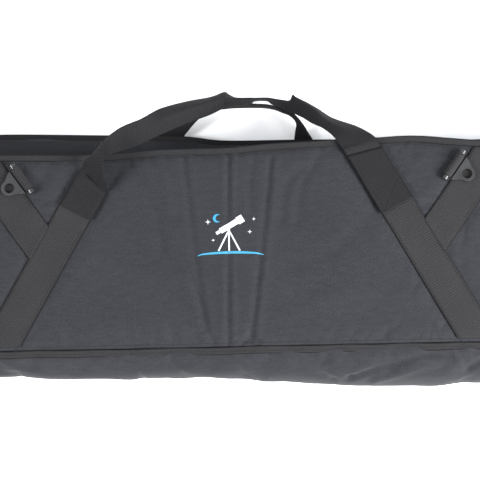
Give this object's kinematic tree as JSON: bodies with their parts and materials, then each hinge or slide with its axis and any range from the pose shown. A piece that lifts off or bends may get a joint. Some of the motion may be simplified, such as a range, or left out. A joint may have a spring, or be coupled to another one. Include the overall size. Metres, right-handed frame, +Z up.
{
  "type": "telescope carry case",
  "caption": "Long padded soft case with a zipped clamshell lid, a pair of webbing carry handles on V straps, and moulded rings for a shoulder strap.",
  "frame": {"origin": "under the middle of the case, on the surface that it lies on", "axes": "+X along the length, +Y towards the zipped mouth and the handles, +Z up out of the front panel"},
  "size_m": [1.2, 0.4325, 0.1462],
  "materials": {
    "cover_fabric": "charcoal woven polyester, dull with a faint sheen",
    "lining_fabric": "grey nylon lining, smooth",
    "foam_sheet": "closed-cell foam sheet",
    "webbing": "black ribbed polypropylene webbing",
    "binding_tape": "black grosgrain tape",
    "zip_tape": "black woven zip tape",
    "zip_coil": "black nylon coil",
    "zip_metal": "black enamel, worn at the edges",
    "ring_plastic": "black moulded acetal, half gloss",
    "print_ink": "white and blue printed ink"
  },
  "bodies": {
    "case": {"back_cover": "cover_fabric", "back_foam": "foam_sheet", "back_lining": "lining_fabric", "bottom_gusset_cover": "cover_fabric", "bottom_gusset_foam": "foam_sheet", "bottom_gusset_lining": "lining_fabric", "case_strip_cover": "cover_fabric", "case_strip_foam": "foam_sheet", "case_strip_lining": "lining_fabric", "case_end_left_cover": "cover_fabric", "case_end_left_foam": "foam_sheet", "case_end_left_lining": "lining_fabric", "case_end_right_cover": "cover_fabric", "case_end_right_foam": "foam_sheet", "case_end_right_lining": "lining_fabric", "back_binding": "binding_tape", "hinge_binding": "binding_tape", "zip_tape_case": "zip_tape", "zip_coil_case": "zip_coil", "back_strap_left": "webbing", "back_strap_right": "webbing"},
    "lid": {"front_cover": "cover_fabric", "front_foam": "foam_sheet", "front_lining": "lining_fabric", "lid_strip_cover": "cover_fabric", "lid_strip_foam": "foam_sheet", "lid_strip_lining": "lining_fabric", "lid_end_left_cover": "cover_fabric", "lid_end_left_foam": "foam_sheet", "lid_end_left_lining": "lining_fabric", "lid_end_right_cover": "cover_fabric", "lid_end_right_foam": "foam_sheet", "lid_end_right_lining": "lining_fabric", "front_binding": "binding_tape", "zip_tape_lid": "zip_tape", "zip_coil_lid": "zip_coil", "front_print": "print_ink", "front_strap_left": "webbing", "front_handle_end_left": "webbing", "side_strap_left": "webbing", "ring_tab_left": "webbing", "front_strap_right": "webbing", "front_handle_end_right": "webbing", "side_strap_right": "webbing", "ring_tab_right": "webbing"},
    "front_handle": {"front_handle": "webbing"},
    "back_handle": {"back_handle": "webbing"},
    "ring_left": {"ring_left": "ring_plastic"},
    "ring_right": {"ring_right": "ring_plastic"},
    "zip_slider_left": {"zip_slider_left": "zip_metal"},
    "zip_slider_right": {"zip_slider_right": "zip_metal"},
    "zip_pull_left": {"zip_pull_left": "zip_metal"},
    "zip_pull_right": {"zip_pull_right": "zip_metal"}
  },
  "joints": [
    {"name": "lid_open", "type": "hinge", "parent": "case", "child": "lid", "pos_m": [0, -0.162, 0.1], "axis": [1, 0, 0], "range_deg": [0, 150]},
    {"name": "front_handle_swing", "type": "hinge", "parent": "lid", "child": "front_handle", "pos_m": [0, 0.1, 0.1055], "axis": [1, 0, 0], "range_deg": [0, 75]},
    {"name": "back_handle_swing", "type": "hinge", "parent": "case", "child": "back_handle", "pos_m": [0, 0.165, 0.0045], "axis": [1, 0, 0], "range_deg": [0, 85]},
    {"name": "ring_left_flip", "type": "hinge", "parent": "lid", "child": "ring_left", "pos_m": [-0.299, 0.077, 0.1061], "axis": [-0.5906, 0.807, 0], "range_deg": [0, 175]},
    {"name": "ring_right_flip", "type": "hinge", "parent": "lid", "child": "ring_right", "pos_m": [0.306, 0.085, 0.1061], "axis": [-0.5906, -0.807, 0], "range_deg": [0, 175]},
    {"name": "zip_slide_left", "type": "slide", "parent": "case", "child": "zip_slider_left", "axis": [1, 0, 0], "range_m": [-0.94, 0]},
    {"name": "zip_slide_right", "type": "slide", "parent": "case", "child": "zip_slider_right", "axis": [1, 0, 0], "range_m": [0, 0.08]},
    {"name": "pull_left_swing", "type": "hinge", "parent": "zip_slider_left", "child": "zip_pull_left", "pos_m": [0.42, 0.1029, 0.05], "axis": [0, 0, -1], "range_deg": [0, 120]},
    {"name": "pull_right_swing", "type": "hinge", "parent": "zip_slider_right", "child": "zip_pull_right", "pos_m": [0.46, 0.1029, 0.05], "axis": [0, 0, 1], "range_deg": [0, 120]}
  ]
}
